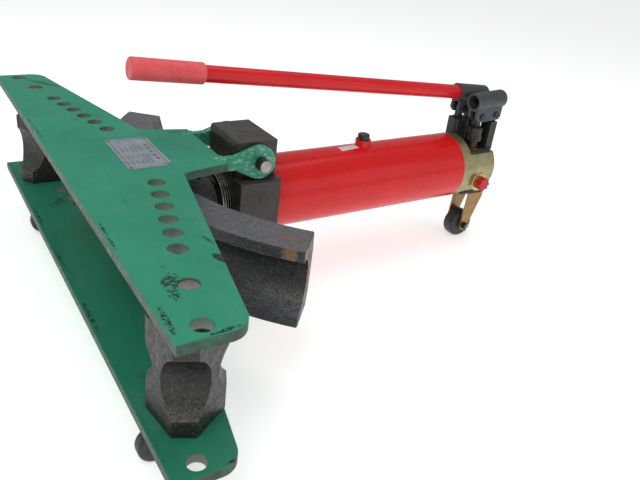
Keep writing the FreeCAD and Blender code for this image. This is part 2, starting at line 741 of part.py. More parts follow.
def lever(name, side):
    """Handle socket with two cheeks, drawn about its fulcrum pin."""
    mouth = "-%sMouth" % name
    socket = cylinder("socketBore + 3.8", "21 + %sMouth" % name, mouth, 0, "socketRise", "X")
    closed = rounded(socket, 5, lambda edge: len(edge.Vertexes) == 1 and edge.CenterOfMass.x > 0)
    cheeks = doc.addObject("PartDesign::Body", "Cheeks")
    shape = new_sketch(cheeks, "XZ_Plane")
    outline(shape, [
        ("-leverArm - 16", "20"), ("-leverArm - 16", "-4"), ("-leverArm - 9", "-11"),
        ("8", "-11"), ("13", "-6"), ("15", "20"),
    ])
    pad(cheeks, shape, 25, middle=True)
    gap = box(80, 13, 40, -62, -6.5, "socketRise - socketBore - 3.9 - 40")
    bore = cylinder("socketBore", 68, mouth, 0, "socketRise", "X")
    holes = [cylinder("leverPin + 0.03", 40, x, -20, 0, "Y") for x in (0, "-leverArm")]
    tilted(cut(fuse(closed, cheeks), gap, bore, *holes), "lever_" + name, name, side)
    pins = []
    for x in (0, "-leverArm"):
        stem = cylinder("leverPin", 30, x, -14.5, 0, "Y")
        head = cylinder("leverPin + 2", 2.5, x, -15.1, 0, "Y")
        pins.append(fuse(stem, head))
    tilted(group(*pins), "lever_pins_" + name, name, side)


def handle():
    tube = ring("handleRadius", "handleRadius - 2.5", "handleLong", "6 - handleLong", 0, "socketRise", "X")
    tilted(tube, "handle_tube", "far", SIDES["far"])
    start = "6 - handleLong - 3"
    grip = cylinder("gripRadius", "gripLong", start, 0, "socketRise", "X")
    soft = rounded(grip, 2.5, lambda edge: len(edge.Vertexes) == 1)
    hollow = cylinder("handleRadius + 0.05", "gripLong", start + " + 3", 0, "socketRise", "X")
    tilted(cut(soft, hollow), "handle_grip", "far", SIDES["far"])


# release valve and filler


def release_valve():
    flange = cylinder(19.7, 12, "releaseX", -66, "releaseZ", "Y")
    edge = rounded(flange, 1.5, lambda edge: len(edge.Vertexes) == 1 and edge.CenterOfMass.y < -60)
    collar = fuse(edge, cylinder(12.5, 5, "releaseX", -67.5, "releaseZ", "Y"))
    hole = cylinder(6.08, 20, "releaseX", -70, "releaseZ", "Y")
    finish(cut(collar, hole), "release_collar")
    finish(cylinder(6, 42, 0, 0, 0, "Y"), "release_spindle", "releaseX", -78, "releaseZ")
    lobes = [cylinder(11.5, 13, 0, 0, 0)]
    count = 8
    for i in range(count):
        turn = "%s" % (i * 360 / count)
        lobes.append(cylinder(3.2, 13, "11 * cos(%s)" % turn, "11 * sin(%s)" % turn, 0))
    knob = cut(fuse(*lobes), cylinder(6.02, 10, 0, 0, 3))
    knob.Placement.Rotation = TURNS["Y"]
    finish(knob, "release_knob", "releaseX", -81, "releaseZ")


def filler():
    boss = cylinder(15, 20, "fillerX", 0, "tubeRadius - 8")
    saddle = cylinder("tubeRadius + 0.02", 40, "fillerX - 20", 0, 0, "X")
    thread = cylinder(9.1, 40, "fillerX", 0, "tubeRadius - 20")
    finish(cut(boss, saddle, thread), "filler_boss")
    finish(ring(11.3, 9.1, 1.2, "fillerX", 0, "tubeRadius + 12.05"), "filler_seal")
    head = cylinder(11.5, 9.5, "fillerX", 0, "tubeRadius + 13.5")
    crown = number("tubeRadius + 20")
    dome = rounded(head, 3, lambda edge: len(edge.Vertexes) == 1 and edge.CenterOfMass.z > crown)
    stem = cylinder(9, 14, "fillerX", 0, "tubeRadius + 1")
    finish(fuse(dome, stem), "filler_cap")


# wheels


def bracket_bolt_spots(name):
    x, y = name + "WheelX + %s", name + "WheelY + %s"
    return [(x % along, y % across) for along in (-9, 14) for across in (-21.5, 21.5)]


def front_wheels():
    """Fixed casters under the front edge of the lower plate."""
    top = "-(gap / 2 + plate)"
    hub = "frontWheel - axisZ"
    brackets = []
    for name in SIDES:
        x, y = name + "WheelX", name + "WheelY"
        body = doc.addObject("PartDesign::Body", "Bracket")
        pressed = new_sketch(body, "XZ_Plane")
        outline(pressed, [
            (x + " - 16", top), (x + " + 20", top), (x + " + 9", hub + " - 4"), (x + " - 9", hub + " - 4"),
        ])
        pad(body, pressed, 28, middle=True)
        place(body, 0, y)
        base = box(40, 58, 4, x + " - 18", y + " - 29", top + " - 4")
        eye = cylinder(10, 28, x, y + " - 14", hub, "Y")
        room = box(60, 22, 70, x + " - 30", y + " - 11", top + " - 74")
        axle_hole = cylinder("axleRadius + 0.03", 60, x, y + " - 30", hub, "Y")
        holes = [cylinder(4.1, 10, along, across, top + " - 6") for along, across in bracket_bolt_spots(name)]
        brackets.append(cut(fuse(body, base, eye), room, axle_hole, *holes))
        tread = cylinder("frontWheel", 20, 0, -10, 0, "Y")
        rim = rounded(tread, 5, lambda edge: len(edge.Vertexes) == 1)
        bore = cylinder("axleRadius + 0.08", 40, 0, -20, 0, "Y")
        finish(cut(rim, bore), "front_wheel_" + name, x, y, hub)
    finish(group(*brackets), "front_brackets")


def front_axles():
    hub = "frontWheel - axisZ"
    axles = []
    for name in SIDES:
        x, y = name + "WheelX", name + "WheelY"
        shaft = cylinder("axleRadius", 36, x, y + " - 18", hub, "Y")
        caps = [cylinder(6.5, 3, x, y + dy, hub, "Y") for dy in (" - 17.2", " + 14.2")]
        axles.append(fuse(shaft, *caps))
    finish(group(*axles), "front_axles")
    bolts = []
    for name in SIDES:
        for x, y in bracket_bolt_spots(name):
            head = hexagon(6.5, 5, x, y, "-(gap / 2 + plate + 9)")
            shank = cylinder(4, 12, x, y, "-(gap / 2 + plate + 4)")
            bolts.append(fuse(head, shank))
    finish(group(*bolts), "bracket_bolts")


def caster():
    """Swivel caster under the head, trailing forwards."""
    axle_x = "casterX - casterTrail"
    hub = "casterWheel - axisZ"
    under = "headUnder - 5"
    plate = box("casterX + 21 - nearPump + 7", 56, 5, "nearPump - 7", -28, under)
    holes = [cylinder(4.1, 20, "nearPump + 5", "%d * 14" % side, "headUnder - 10") for side in SIDES.values()]
    holes.append(cylinder(6.05, 20, "casterX", 0, "headUnder - 10"))
    edge = rounded(plate, 8, stands_up)
    finish(cut(edge, *holes), "caster_mount")
    bolts = []
    for side in SIDES.values():
        head = hexagon(6.5, 4.5, "nearPump + 5", "%d * 14" % side, under + " - 4.5")
        bolts.append(fuse(head, cylinder(4, 18, "nearPump + 5", "%d * 14" % side, under)))
    finish(group(*bolts), "caster_bolts")
    stem = cylinder(6, 22, "casterX", 0, "headUnder - 18")
    crown = hexagon(9.5, 6, "casterX", 0, "headUnder")
    nut = cylinder(9, 4, "casterX", 0, "headUnder - 18.5")
    finish(fuse(stem, crown, nut), "caster_kingpin")
    finish(ring(19, 6.1, 4.8, "casterX", 0, "headUnder - 9.9"), "caster_bearing")

    body = doc.addObject("PartDesign::Body", "Fork")
    side_view = new_sketch(body, "XZ_Plane")
    top = "headUnder - 10.2"
    outline(side_view, [
        ("casterX - 22", top), ("casterX + 20.5", top), ("casterX + 20.5", top + " - 9"),
        (axle_x + " + 12", hub + " + 3"), (axle_x + " - 12", hub),
    ])
    pad(body, side_view, 44, middle=True)
    eye = cylinder(12, 44, axle_x, -22, hub, "Y")
    room = box(80, 37, 120, axle_x + " - 45", -18.5, top + " - 3.6 - 120")
    pivot = cylinder(6.08, 20, "casterX", 0, top + " - 10")
    axle_hole = cylinder("axleRadius + 0.03", 60, axle_x, -30, hub, "Y")
    finish(cut(fuse(body, eye), room, pivot, axle_hole), "caster_fork")
    shaft = cylinder("axleRadius", 61, axle_x, -33, hub, "Y")
    finish(cut(shaft, cylinder(1.3, 20, axle_x, -30.6, hub + " - 10")), "caster_axle")
    nuts = [hexagon(7.5, 5.5, axle_x, dy, hub, "Y") for dy in (-27.7, 22.2)]
    hole = cylinder("axleRadius + 0.03", 60, axle_x, -30, hub, "Y")
    finish(cut(group(*nuts), hole), "caster_nuts")
    finish(cylinder(1.25, 19, 0, 0, 0), "caster_split_pin", axle_x, -30.6, hub + " - 12")
    tread = cylinder("casterWheel", 28, 0, -14, 0, "Y")
    rim = rounded(tread, 7, lambda edge: len(edge.Vertexes) == 1)
    seat = cylinder(8, 40, 0, -20, 0, "Y")
    finish(cut(rim, seat), "caster_wheel", axle_x, 0, hub)
    finish(ring(7.95, "axleRadius + 0.08", 34, 0, -17, 0, "Y"), "caster_wheel_bush", axle_x, 0, hub)


lower_wing_plate()
upper_wing_plate()
hinge_lugs()
data_plate()
front_block()
block_bolts()
hinge_pin()
working_cylinder()
cylinder_collar()
rod_gland()
tank_tube()
ram()
return_spring()
former()
pump_head()
pump_barrels()
for name, side in SIDES.items():
    roller(name, side)
front_wheels()
fulcrum_posts()
for name, radius in (("near", 8), ("far", 11)):
    plunger(name, SIDES[name], radius, name + "Tilt")
    lever(name, SIDES[name])
handle()
release_valve()
filler()
front_axles()
caster()
doc.recompute()

for obj in doc.Objects:
    if "Invalid" in obj.State or "Error" in obj.State:
        raise RuntimeError("%s (%s) failed: %s" % (obj.Label, obj.Name, obj.State))
for obj in nodes:
    if obj.Shape.isNull() or not obj.Shape.isValid() or not obj.Shape.Solids:
        raise RuntimeError("%s has no valid solid" % obj.Label)

os.makedirs("parts", exist_ok=True)
for obj in nodes:
    obj.Shape.exportStep("parts/%s.step" % obj.Label)
    span = obj.Shape.BoundBox
    print("%-22s %d solid(s) %9.0f mm3  x %7.1f %7.1f  y %7.1f %7.1f  z %6.1f %6.1f" % (
        obj.Label, len(obj.Shape.Solids), obj.Shape.Volume,
        span.XMin, span.XMax, span.YMin, span.YMax, span.ZMin, span.ZMax))
print(len(nodes), "sub-parts")
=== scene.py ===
import math

import bmesh
import bpy
from mathutils import Matrix, Vector, noise


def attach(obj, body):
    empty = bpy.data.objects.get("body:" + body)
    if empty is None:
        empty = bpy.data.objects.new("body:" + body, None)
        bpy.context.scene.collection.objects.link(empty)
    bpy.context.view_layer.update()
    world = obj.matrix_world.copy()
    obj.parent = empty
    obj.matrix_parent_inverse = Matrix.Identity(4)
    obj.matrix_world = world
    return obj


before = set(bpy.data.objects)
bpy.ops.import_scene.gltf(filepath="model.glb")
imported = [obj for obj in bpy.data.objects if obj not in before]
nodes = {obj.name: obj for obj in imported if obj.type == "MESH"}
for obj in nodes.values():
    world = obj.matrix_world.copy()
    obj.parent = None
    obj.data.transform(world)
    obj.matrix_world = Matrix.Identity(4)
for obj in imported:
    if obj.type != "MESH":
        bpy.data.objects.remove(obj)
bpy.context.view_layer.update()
print("frame loaded:", len(nodes), "nodes")

mm = 0.001
ramHeight = 0.18  # the ram's axis above the floor, in metres

# The camera stands low in front of the near wing and looks down along the machine.
cameraSet = {
    "place": (-0.6506, -0.9456, 0.6696),
    "yaw": 57.5, "pitch": -27.6, "roll": 5.8,
    "lens": 37.25, "sensor": 36, "shift": (0.0606, -0.0094),
    "nearest": 0.05,
}


def makeCamera(spec):
    yaw, pitch, roll = (math.radians(spec[name]) for name in ("yaw", "pitch", "roll"))
    ahead = Vector((math.cos(pitch) * math.cos(yaw), math.cos(pitch) * math.sin(yaw), math.sin(pitch)))
    right = ahead.cross(Vector((0, 0, 1))).normalized()
    up = right.cross(ahead)
    turnedRight = right * math.cos(roll) + up * math.sin(roll)
    turnedUp = up * math.cos(roll) - right * math.sin(roll)
    data = bpy.data.cameras.new("camera")
    data.lens = spec["lens"]
    data.sensor_width = spec["sensor"]
    data.shift_x, data.shift_y = spec["shift"]
    data.clip_start = spec["nearest"]
    camera = bpy.data.objects.new("camera", data)
    turn = Matrix((turnedRight, turnedUp, -ahead)).transposed()
    camera.matrix_world = Matrix.Translation(spec["place"]) @ turn.to_4x4()
    bpy.context.collection.objects.link(camera)
    bpy.context.scene.camera = camera


# Three soft area lights, all aimed at the middle of the floor.
lightSet = {
    "key": {"place": (-1.6, -1.0, 2.6), "size": 1.6, "watts": 28},
    "top": {"place": (0.3, 0.4, 2.8), "size": 2.2, "watts": 19},
    "fill": {"place": (1.6, -2.2, 1.2), "size": 1.6, "watts": 6},
}


def makeLights(spec):
    for name, light in spec.items():
        data = bpy.data.lights.new(name, "AREA")
        data.size = light["size"]
        data.energy = light["watts"]
        lamp = bpy.data.objects.new(name, data)
        lamp.location = light["place"]
        lamp.rotation_euler = (-Vector(light["place"])).to_track_quat("-Z", "Y").to_euler()
        bpy.context.collection.objects.link(lamp)


def linear(code):
    parts = [int(code[i:i + 2], 16) / 255 for i in (1, 3, 5)]
    return [p / 12.92 if p <= 0.04045 else ((p + 0.055) / 1.055) ** 2.4 for p in parts] + [1.0]


def setSockets(tree, node, links):
    for socket, value in links.items():
        if isinstance(value, bpy.types.NodeSocket):
            tree.links.new(value, node.inputs[socket])
        else:
            node.inputs[socket].default_value = value


# Adds a node with its settings and links, and gives one of its outputs.
def addNode(tree, kind, links=None, out=0, **settings):
    node = tree.nodes.new("ShaderNode" + kind)
    for name, value in settings.items():
        setattr(node, name, value)
    setSockets(tree, node, links or {})
    return node.outputs[out]


def newMaterial(name):
    material = bpy.data.materials.new(name)
    material.use_nodes = True
    tree = material.node_tree
    return material, tree, tree.nodes["Principled BSDF"]


# Noise on the piece's own place, with spots of a size in millimetres.
def grain(tree, size, detail=3, roughness=0.55, stretch=None):
    where = addNode(tree, "TexCoord", out="Object")
    if stretch:
        where = addNode(tree, "Mapping", {"Vector": where, "Scale": stretch})
    return addNode(tree, "TexNoise", {
        "Vector": where, "Scale": 1 / (size * mm), "Detail": detail, "Roughness": roughness}, out="Fac")


# Grain with the part of it between low and high spread over a range, for a mask or a roughness.
def mottle(tree, size, low, high, start=0.0, end=1.0, **shape):
    return addNode(tree, "MapRange", {0: grain(tree, size, **shape), 1: low, 2: high, 3: start, 4: end})


# Lays each colour over the last one, as far as its mask says.
def coats(tree, colour, layers):
    for mask, over in layers:
        over = linear(over) if isinstance(over, str) else over
        colour = addNode(tree, "Mix", {0: mask, 6: colour, 7: over}, out=2, data_type="RGBA")
    return colour


# Stacks reliefs from the coarsest to the finest, each with its depth in millimetres.
def relief(tree, surface, layers):
    under = None
    for height, depth in layers:
        links = {"Height": height, "Distance": depth * mm, "Strength": 1.0}
        if under:
            links["Normal"] = under
        under = addNode(tree, "Bump", links)
    setSockets(tree, surface, {"Normal": under})


# Where the shape has an edge: the smoothed normal leaves the true one there.
def edges(tree, width, low=0.86, high=0.985):
    soft = addNode(tree, "Bevel", {"Radius": width * mm}, samples=6)
    sharp = addNode(tree, "NewGeometry", out="Normal")
    agree = addNode(tree, "VectorMath", {0: soft, 1: sharp}, out="Value", operation="DOT_PRODUCT")
    return addNode(tree, "MapRange", {0: agree, 1: low, 2: high, 3: 1.0, 4: 0.0})


def facing(tree, axis):
    return addNode(tree, "SeparateXYZ", {0: addNode(tree, "TexCoord", out="Normal")}, out=axis)


def placeAlong(tree, axis):
    return addNode(tree, "SeparateXYZ", {0: addNode(tree, "TexCoord", out="Object")}, out=axis)


# The specks of every mark: their size, and how far up and down a mark reaches, in millimetres. The
# grain shows above a threshold at the rim, which the mark's middle and its density bring down.
markSet = {"speck": 4, "reachDown": 40, "rim": 0.83, "middle": -0.22, "dense": -0.16, "least": 0.02}


# One scuffed patch: an oval that breaks up into specks towards its rim.
def patch(tree, mark):
    x, y, z, long, wide, turn, density = mark
    local = addNode(tree, "Mapping", {
        "Vector": addNode(tree, "TexCoord", out="Object"),
        "Location": (x * mm, y * mm, z * mm),
        "Rotation": (0, 0, math.radians(turn)),
        "Scale": (long * mm, wide * mm, markSet["reachDown"] * mm),
    }, vector_type="TEXTURE")
    reach = addNode(tree, "VectorMath", {0: local}, out="Value", operation="LENGTH")
    near = addNode(tree, "MapRange", {0: reach, 1: 0.55, 2: 1.0, 3: 1.0, 4: 0.0})
    rim = markSet["rim"] + markSet["dense"] * density
    threshold = addNode(tree, "Math", {0: near, 1: markSet["middle"], 2: rim}, operation="MULTIPLY_ADD")
    specks = grain(tree, markSet["speck"], 6, 0.8)
    shown = addNode(tree, "Math", {0: specks, 1: threshold}, operation="GREATER_THAN")
    inside = addNode(tree, "Math", {0: near, 1: markSet["least"]}, operation="GREATER_THAN")
    return addNode(tree, "Math", {0: shown, 1: inside}, operation="MULTIPLY")


def patches(tree, marks):
    covered = 0.0
    for mark in marks:
        covered = addNode(tree, "Math", {0: covered, 1: patch(tree, mark)}, operation="MAXIMUM")
    return covered


# The slanting rows of roller holes, in millimetres: where they meet the middle line, how far they
# fall back per millimetre aside, the holes' wall, and the plate's ends, which aren't hole walls.
holeRow = {"start": -315, "slope": 0.2315, "wall": (13.4, 14.4), "plateEnd": (471.5, 473)}


def holeWalls(tree):
    aside = addNode(tree, "Math", {0: placeAlong(tree, "Y")}, operation="ABSOLUTE")
    slanted = addNode(tree, "Math", {0: aside, 1: holeRow["slope"]}, operation="MULTIPLY")
    line = addNode(tree, "Math", {0: placeAlong(tree, "X"), 1: slanted}, operation="ADD")
    offset = addNode(tree, "Math", {0: line, 1: holeRow["start"] * mm}, operation="SUBTRACT")
    away = addNode(tree, "Math", {0: offset}, operation="ABSOLUTE")
    inner, outer = (edge * mm for edge in holeRow["wall"])
    close = addNode(tree, "MapRange", {0: away, 1: inner, 2: outer, 3: 1.0, 4: 0.0})
    inner, outer = (edge * mm for edge in holeRow["plateEnd"])
    within = addNode(tree, "MapRange", {0: aside, 1: inner, 2: outer, 3: 1.0, 4: 0.0})
    return addNode(tree, "Math", {0: close, 1: within}, operation="MULTIPLY")


# Sprayed enamel on flame cut plate: a calm satin green on the flats, with faint clouds and rubbed
# streaks, thin and nearly black on the cut edges, and worn to the primer along the corners.
def greenEnamel(name, face, shade, side=None, marks=(), scraped=0.0):
    material, tree, surface = newMaterial(name)
    layers = [
        (mottle(tree, 140, 0.35, 0.68, detail=2), shade),
        (mottle(tree, 34, 0.55, 0.76, 0, 0.4, detail=5, roughness=0.7, stretch=(1, 0.25, 1)), "#5b9480"),
        (mottle(tree, 26, 0.6, 0.72, 0, 0.5, detail=6, roughness=0.72, stretch=(1, 0.6, 1)), "#245545"),
        (mottle(tree, 3.2, 0.68, 0.73, 0, 0.55, roughness=0.6), "#1f3a31"),
    ]
    if scraped:
        scrape = mottle(tree, 9, 0.52, 0.62, 0, scraped, detail=6, roughness=0.75, stretch=(1, 1, 2.4))
        layers.append((scrape, "#b4cfc2"))
    if side:
        level = addNode(tree, "Math", {0: facing(tree, "Z")}, operation="ABSOLUTE")
        upright = addNode(tree, "MapRange", {0: level, 1: 0.35, 2: 0.6, 3: 1.0, 4: 0.0})
        patchy = mottle(tree, 16, 0.38, 0.62, 0.7, 1.0, detail=4, roughness=0.6)
        cut = addNode(tree, "Math", {0: upright, 1: patchy}, operation="MULTIPLY")
        layers.append((cut, coats(tree, linear(side), [(holeWalls(tree), "#73756c")])))
    stained = patches(tree, marks)
    worn = mottle(tree, 9, 0.5, 0.58, detail=5, roughness=0.7)
    knocked = addNode(tree, "Math", {0: edges(tree, 2.6), 1: worn}, operation="MULTIPLY")
    layers += [(stained, "#232c28"), (knocked, "#575248")]
    setSockets(tree, surface, {
        "Base Color": coats(tree, linear(face), layers),
        "Roughness": mottle(tree, 12, 0.3, 0.7, 0.4, 0.58, detail=4),
        "IOR": 1.5, "Specular IOR Level": 0.32})
    gone = addNode(tree, "Math", {0: knocked, 1: stained}, operation="MAXIMUM")
    left = addNode(tree, "Math", {0: 1.0, 1: gone}, operation="SUBTRACT")
    relief(tree, surface, [(grain(tree, 5, 2), 0.14), (left, 0.3)])
    return material


# Gloss enamel on drawn tube, and a glossy plastic: a clear bright streak along the round, which a
# little dust and a few knocked edges break up.
def redEnamel(name, face, shade, rough=0.22):
    material, tree, surface = newMaterial(name)
    worn = mottle(tree, 6, 0.55, 0.62, detail=5, roughness=0.7)
    knocked = addNode(tree, "Math", {0: edges(tree, 1.4), 1: worn}, operation="MULTIPLY")
    setSockets(tree, surface, {
        "Base Color": coats(tree, linear(face), [
            (mottle(tree, 90, 0.35, 0.7), shade),
            (mottle(tree, 7, 0.66, 0.78, 0, 0.25, detail=6, roughness=0.75), "#c86a60"),
            (knocked, "#6a3b34")]),
        "Roughness": mottle(tree, 20, 0.3, 0.7, rough, rough + 0.12, detail=4),
        "IOR": 1.5, "Specular IOR Level": 0.3, "Coat Weight": 0.12, "Coat Roughness": 0.1})
    relief(tree, surface, [(grain(tree, 9, 2), 0.05)])
    return material


# Sand cast iron under thin black paint: lumpy and nearly black, with small painted grey glints,
# painted light in grey specks on the faces that look up and painted shade, near black, on those that
# look down. Real cast grain is about a millimetre; it is drawn several times as coarse, so that it shows.
def castIron(name, face, shade, worn, pit=4.0, depth=0.5, topColour=None, chips=(), slopeLightAndShade=0.0):
    material, tree, surface = newMaterial(name)
    fine = grain(tree, pit, 6, 0.68)
    layers = [
        (mottle(tree, 45, 0.3, 0.7, detail=4), shade),
        (addNode(tree, "MapRange", {0: fine, 1: 0.56, 2: 0.74, 3: 0.0, 4: 0.5}), worn),
    ]
    slope = facing(tree, "Z")
    if topColour:
        top = addNode(tree, "MapRange", {0: slope, 1: 0.85, 2: 0.97})
        scuffed = mottle(tree, 28, 0.3, 0.7, 0.72, 1.0, detail=5, roughness=0.6)
        layers.append((addNode(tree, "Math", {0: top, 1: scuffed}, operation="MULTIPLY"), topColour))
    glint = mottle(tree, pit * 0.45, 0.6, 0.7, 0, 0.5, roughness=0.6)
    scratched = mottle(tree, 14, 0.45, 0.62, 0, 0.65, detail=5, roughness=0.7)
    rubbed = addNode(tree, "Math", {0: edges(tree, 3.0, 0.8, 0.98), 1: scratched}, operation="MULTIPLY")
    # Painted light: the worn grey is laid in specks on the faces that look up, more the more they face up.
    up = addNode(tree, "MapRange", {0: slope, 1: 0.1, 2: 0.75, 3: 0.0, 4: 0.5 * slopeLightAndShade})
    lightSpecks = mottle(tree, pit * 0.6, 0.42, 0.64, detail=5, roughness=0.75)
    paintedLightUp = addNode(tree, "Math", {0: up, 1: lightSpecks}, operation="MULTIPLY")
    # Painted shade: the faces that look down are darkened to near black.
    paintedShadeDown = addNode(tree, "MapRange", {0: slope, 1: -0.55, 2: 0.05, 3: 0.85 * slopeLightAndShade, 4: 0.0})
    layers += [(glint, worn), (rubbed, worn), (paintedLightUp, worn), (paintedShadeDown, "#0b0b0b")]
    layers.append((patches(tree, chips), "#7a5f48"))
    setSockets(tree, surface, {
        "Base Color": coats(tree, linear(face), layers),
        "Roughness": mottle(tree, pit * 2, 0.35, 0.65, 0.27, 0.58, detail=5, roughness=0.7),
        "IOR": 1.5, "Metallic": 0.15})
    relief(tree, surface, [(grain(tree, pit * 3), depth * 2.2), (fine, depth)])
    return material


# Yellow passivated zinc: pale brass that clouds over into warm and dirty patches, with soft gloss.
def zincYellow(name, face, shade, bloom):
    material, tree, surface = newMaterial(name)
    setSockets(tree, surface, {
        "Base Color": coats(tree, linear(face), [
            (mottle(tree, 24, 0.3, 0.7, detail=4), shade),
            (mottle(tree, 15, 0.5, 0.75, 0, 0.6), bloom),
            (mottle(tree, 8, 0.5, 0.7, 0, 0.5, detail=6, roughness=0.7), "#5b5136")]),
        "Roughness": mottle(tree, 9, 0.3, 0.7, 0.27, 0.45, detail=4),
        "Metallic": 0.85})
    relief(tree, surface, [(grain(tree, 1.6, 3, 0.5, (1, 1, 5)), 0.05)])
    return material


# Bare turned or ground steel, and copper, under a film of oil: bright and soft edged highlights,
# with a few brown spots where rust or grime has started.
def bareSteel(name, face, shade, rough=0.3, metal=1.0):
    material, tree, surface = newMaterial(name)
    setSockets(tree, surface, {
        "Base Color": coats(tree, linear(face), [
            (mottle(tree, 11, 0.32, 0.68, detail=5, roughness=0.65), shade),
            (mottle(tree, 5, 0.62, 0.72, 0, 0.5, detail=6, roughness=0.75), "#5a4534")]),
        "Roughness": mottle(tree, 6, 0.3, 0.7, rough, rough + 0.18, detail=4),
        "Metallic": metal})
    relief(tree, surface, [(grain(tree, 0.9, 3, 0.5), 0.04)])
    return material


# Moulded rubber and dull plastic, and paper and ink: no clear reflection, a fine grain, and dust
# that greys the colour in patches.
def dullFinish(name, face, shade, dustColour, rough, dustAmount=0.3, grainSize=2.0):
    material, tree, surface = newMaterial(name)
    setSockets(tree, surface, {
        "Base Color": coats(tree, linear(face), [
            (mottle(tree, 30, 0.35, 0.7, detail=4), shade),
            (mottle(tree, 5, 0.45, 0.75, 0, dustAmount, detail=6, roughness=0.75), dustColour)]),
        "Roughness": mottle(tree, 12, 0.3, 0.7, rough - 0.1, rough + 0.1, detail=4),
        "IOR": 1.52, "Sheen Weight": 0.1})
    relief(tree, surface, [(grain(tree, grainSize, 4, 0.6), 0.15)])
    return material


# Turned steel thread: bright worn crests between black oily roots, so each turn stands apart.
threadSet = {"root": 49.4, "crest": 50.2}


def threadedSteel(name):
    material, tree, surface = newMaterial(name)
    high = addNode(tree, "Math", {0: placeAlong(tree, "Z"), 1: ramHeight}, operation="SUBTRACT")
    aside = placeAlong(tree, "Y")
    squares = [addNode(tree, "Math", {0: way, 1: way}, operation="MULTIPLY") for way in (high, aside)]
    both = addNode(tree, "Math", {0: squares[0], 1: squares[1]}, operation="ADD")
    radius = addNode(tree, "Math", {0: both}, operation="SQRT")
    crest = addNode(tree, "MapRange", {0: radius, 1: threadSet["root"] * mm, 2: threadSet["crest"] * mm})
    rubbed = mottle(tree, 7, 0.35, 0.5, 0.5, 1.0, detail=4)
    worn = addNode(tree, "Math", {0: crest, 1: rubbed}, operation="MULTIPLY")
    setSockets(tree, surface, {
        "Base Color": coats(tree, linear("#26231f"), [(worn, "#d5d2c8")]),
        "Roughness": addNode(tree, "MapRange", {0: worn, 3: 0.6, 4: 0.28}),
        "Metallic": 0.9})
    relief(tree, surface, [(grain(tree, 2, 4), 0.08)])
    return material


# Turned steel pin: pale faced ends that catch the light, and brown oily sides.
def pinSteel(name):
    material, tree, surface = newMaterial(name)
    level = addNode(tree, "Math", {0: facing(tree, "Y")}, operation="ABSOLUTE")
    ends = addNode(tree, "MapRange", {0: level, 1: 0.9, 2: 0.99})
    cloud = mottle(tree, 6, 0.35, 0.65, detail=5, roughness=0.65)
    side = coats(tree, linear("#3b3733"), [(cloud, "#5e5850")])
    face = coats(tree, linear("#a9a69c"), [(cloud, "#8a877d")])
    setSockets(tree, surface, {
        "Base Color": coats(tree, side, [(ends, face)]),
        "Roughness": addNode(tree, "MapRange", {0: cloud, 3: 0.32, 4: 0.5}),
        "Metallic": 0.9})
    relief(tree, surface, [(grain(tree, 1.2, 4), 0.06)])
    return material


# Brushed aluminium foil plate: cool pale grey, with a soft sheen drawn out along the brushing.
def foilPlate(name):
    material, tree, surface = newMaterial(name)
    setSockets(tree, surface, {
        "Base Color": coats(tree, linear("#b4bcc4"), [(mottle(tree, 22, 0.35, 0.65, detail=4), "#9aa3ad")]),
        "Roughness": mottle(tree, 8, 0.3, 0.7, 0.35, 0.5, detail=4),
        "Metallic": 0.55})
    relief(tree, surface, [(grain(tree, 1.0, 2, 0.5, (1, 12, 1)), 0.03)])
    return material


# Scuffed patches, listed one by one: x, y, z of the middle, half length and half width in millimetres,
# turn in degrees, and density.
plateMarks = [
    (-383, 407, 281, 47, 3.5, -52.7, 1.6), (-421, -372, 281, 26, 15, 70, 0.6),
    (-427, -396, 281, 20, 10, 80, 0.5), (-349, -346, 281, 17, 9, -75, 1.0),
    (-419, 452, 281, 18, 7, -20, 0.9), (-451, -440, 281, 40, 5, 88, 0.7),
    (-403, -475, 281, 30, 4, 5, 0.7), (-344, -300, 281, 22, 4, -76, 0.6),
    (-453, -250, 281, 60, 3, 89, 0.6), (-453, 150, 281, 90, 3, 91, 0.5), (-240, 72, 281, 12, 4, 10, 0.7),
]
lowMarks = [
    (-451, 200, 93, 60, 5, 90, 0.6), (-451, 40, 93, 50, 5, 90, 0.5), (-451, -140, 93, 60, 5, 90, 0.6),
    (-370, -473, 93, 30, 5, 5, 0.7), (-400, 250, 93, 40, 18, 40, 0.5),
]
formerChips = [
    (-206, -271, 242, 17, 8, -50, 1.5), (-195, -312, 240, 15, 7, -40, 1.6),
    (-222, -300, 232, 14, 8, -50, 1.3),
]


